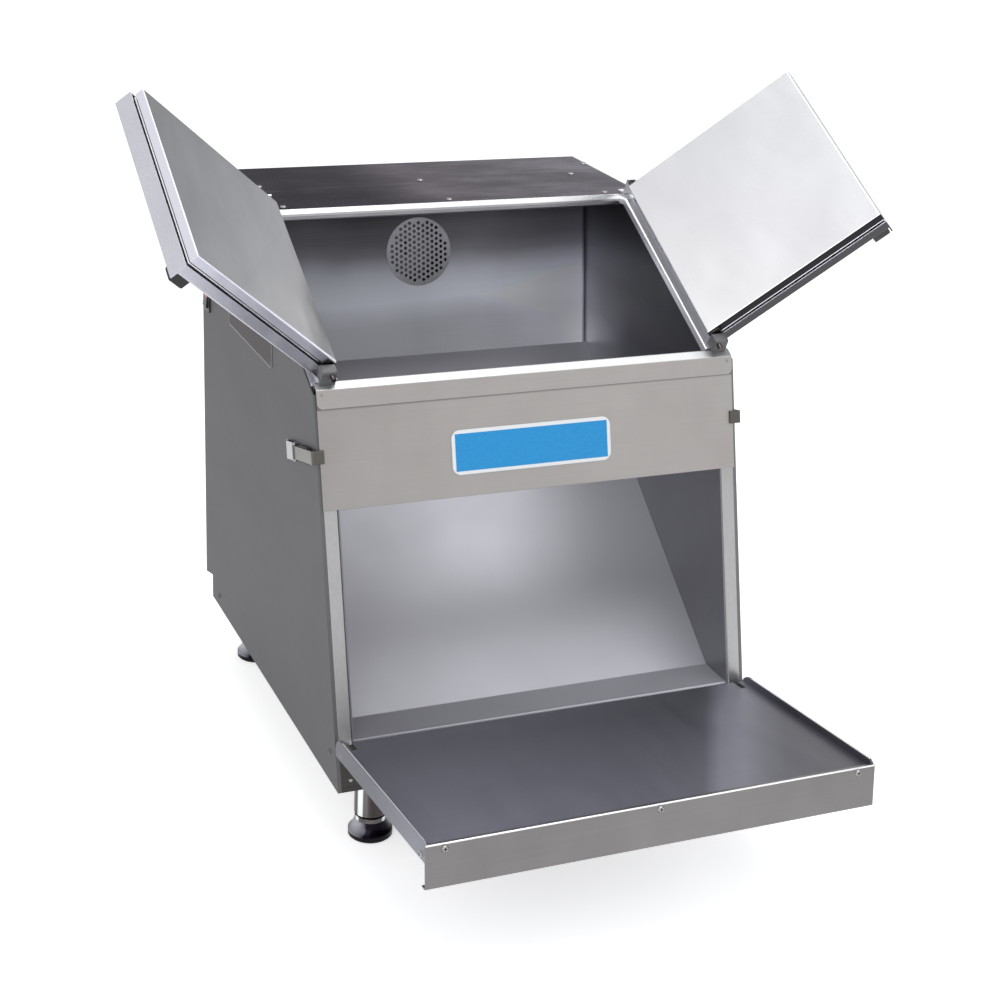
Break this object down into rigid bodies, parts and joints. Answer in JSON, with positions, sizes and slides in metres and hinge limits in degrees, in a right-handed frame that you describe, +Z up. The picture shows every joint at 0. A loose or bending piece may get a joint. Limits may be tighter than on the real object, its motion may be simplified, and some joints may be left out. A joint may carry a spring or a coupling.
{
  "type": "chip warmer",
  "caption": "Countertop chip warmer: slanted stainless hopper on legs with side-opening lids, a fold-down front tray, side latches and a blower behind a round grille.",
  "frame": {"origin": "on the floor, at the middle of the feet", "axes": "+Z up, the front and its tray face -Y, +X to the right seen from the front"},
  "size_m": [0.7679, 0.8017, 0.7531],
  "materials": {
    "brushed_stainless_steel_sheet": "brushed stainless steel sheet",
    "perforated_stainless_sheet": "perforated stainless sheet",
    "bare_printed_plate": "bare printed plate, gloss",
    "bare_plate": "bare plate",
    "dark_bearing_block": "dark bearing block",
    "folded_bracket": "folded bracket",
    "polished_pins": "polished pins",
    "black_switch_housing": "black switch housing",
    "black_rocker": "black rocker",
    "red_window": "red window",
    "coated_steel_casing": "coated steel casing",
    "black_motor_can": "black motor can",
    "pressed_wheel": "pressed wheel",
    "flat_heating_strip": "flat heating strip",
    "moulded_body": "moulded body",
    "moulded_block": "moulded block",
    "black_strain_relief": "black strain relief",
    "polished_legs": "polished legs",
    "dark_insulating_core": "dark insulating core",
    "black_rubber": "black rubber",
    "polished_flare_over_a_black_base": "polished flare over a black base"
  },
  "bodies": {
    "housing": {"left_side_panel": "brushed_stainless_steel_sheet", "right_side_panel": "brushed_stainless_steel_sheet", "base_pan": "brushed_stainless_steel_sheet", "back_panel": "brushed_stainless_steel_sheet", "hood": "brushed_stainless_steel_sheet", "hood_channel": "brushed_stainless_steel_sheet", "left_liner_wall": "brushed_stainless_steel_sheet", "right_liner_wall": "brushed_stainless_steel_sheet", "chute_floor": "brushed_stainless_steel_sheet", "hopper_back_wall": "brushed_stainless_steel_sheet", "vent_grille": "perforated_stainless_sheet", "left_rim_channel": "brushed_stainless_steel_sheet", "right_rim_channel": "brushed_stainless_steel_sheet", "front_rail": "brushed_stainless_steel_sheet", "fascia": "brushed_stainless_steel_sheet", "badge_plate": "bare_printed_plate", "label_plate": "bare_plate", "front_posts": "brushed_stainless_steel_sheet", "kick_plate": "brushed_stainless_steel_sheet", "hinge_brackets": "brushed_stainless_steel_sheet", "pivot_blocks": "dark_bearing_block", "pivot_brackets": "folded_bracket", "rocker_bezel": "black_switch_housing", "blower_housing": "coated_steel_casing", "blower_motor": "black_motor_can", "heater_frame": "brushed_stainless_steel_sheet", "heater_element": "flat_heating_strip", "thermostat": "moulded_body", "terminal_block": "moulded_block", "cord_gland": "black_strain_relief", "leg_barrels": "polished_legs", "hood_screws": "brushed_stainless_steel_sheet", "body_screws": "brushed_stainless_steel_sheet", "left_latch_base": "brushed_stainless_steel_sheet", "right_latch_base": "brushed_stainless_steel_sheet"},
    "left_lid": {"left_lid_inner_pan": "brushed_stainless_steel_sheet", "left_lid_core": "dark_insulating_core", "left_lid_outer_pan": "brushed_stainless_steel_sheet", "left_lid_bumper": "black_rubber", "left_lid_pins": "polished_pins"},
    "right_lid": {"right_lid_inner_pan": "brushed_stainless_steel_sheet", "right_lid_core": "dark_insulating_core", "right_lid_outer_pan": "brushed_stainless_steel_sheet", "right_lid_bumper": "black_rubber", "right_lid_pins": "polished_pins"},
    "tray": {"tray_pan": "brushed_stainless_steel_sheet", "tray_front": "brushed_stainless_steel_sheet", "tray_pins": "polished_pins", "tray_screws": "brushed_stainless_steel_sheet"},
    "left_latch": {"left_latch_strap": "brushed_stainless_steel_sheet", "left_latch_grip": "black_rubber"},
    "right_latch": {"right_latch_strap": "brushed_stainless_steel_sheet", "right_latch_grip": "black_rubber"},
    "rocker": {"rocker_button": "black_rocker", "rocker_lens": "red_window"},
    "fan": {"fan_wheel": "pressed_wheel"},
    "front_left_leveller": {"front_left_foot": "polished_flare_over_a_black_base"},
    "front_right_leveller": {"front_right_foot": "polished_flare_over_a_black_base"},
    "back_left_leveller": {"back_left_foot": "polished_flare_over_a_black_base"},
    "back_right_leveller": {"back_right_foot": "polished_flare_over_a_black_base"}
  },
  "joints": [
    {"name": "left_lid_hinge", "type": "hinge", "parent": "housing", "child": "left_lid", "pos_m": [-0.2155, -0.15999, 0.49483], "axis": [0, 0.8821, 0.471], "range_deg": [0, 135.5]},
    {"name": "right_lid_hinge", "type": "hinge", "parent": "housing", "child": "right_lid", "pos_m": [0.2155, -0.15999, 0.49483], "axis": [0, -0.8821, -0.471], "range_deg": [0, 133.6]},
    {"name": "tray_hinge", "type": "hinge", "parent": "housing", "child": "tray", "pos_m": [0, -0.26816, 0.12552], "axis": [-1, 0, 0], "range_deg": [0, 97.8]},
    {"name": "left_latch_pivot", "type": "hinge", "parent": "housing", "child": "left_latch", "pos_m": [-0.2395, -0.12106, 0.39927], "axis": [0, -0.2419, -0.9703], "range_deg": [0, 100]},
    {"name": "right_latch_pivot", "type": "hinge", "parent": "housing", "child": "right_latch", "pos_m": [0.2395, -0.12106, 0.39927], "axis": [0, 0.2419, 0.9703], "range_deg": [0, 100]},
    {"name": "rocker_pivot", "type": "hinge", "parent": "housing", "child": "rocker", "pos_m": [-0.233, 0.2465, 0.46101], "axis": [0, -1, 0], "range_deg": [0, 14]},
    {"name": "fan_spin", "type": "hinge", "parent": "housing", "child": "fan", "pos_m": [0, 0.17618, 0.51999], "axis": [0, -0.9903, 0.1392], "continuous": true},
    {"name": "front_left_foot_slide", "type": "slide", "parent": "housing", "child": "front_left_leveller", "axis": [0, 0, 1], "range_m": [-0.02, 0]},
    {"name": "front_right_foot_slide", "type": "slide", "parent": "housing", "child": "front_right_leveller", "axis": [0, 0, 1], "range_m": [-0.02, 0]},
    {"name": "back_left_foot_slide", "type": "slide", "parent": "housing", "child": "back_left_leveller", "axis": [0, 0, 1], "range_m": [-0.02, 0]},
    {"name": "back_right_foot_slide", "type": "slide", "parent": "housing", "child": "back_right_leveller", "axis": [0, 0, 1], "range_m": [-0.02, 0]}
  ]
}
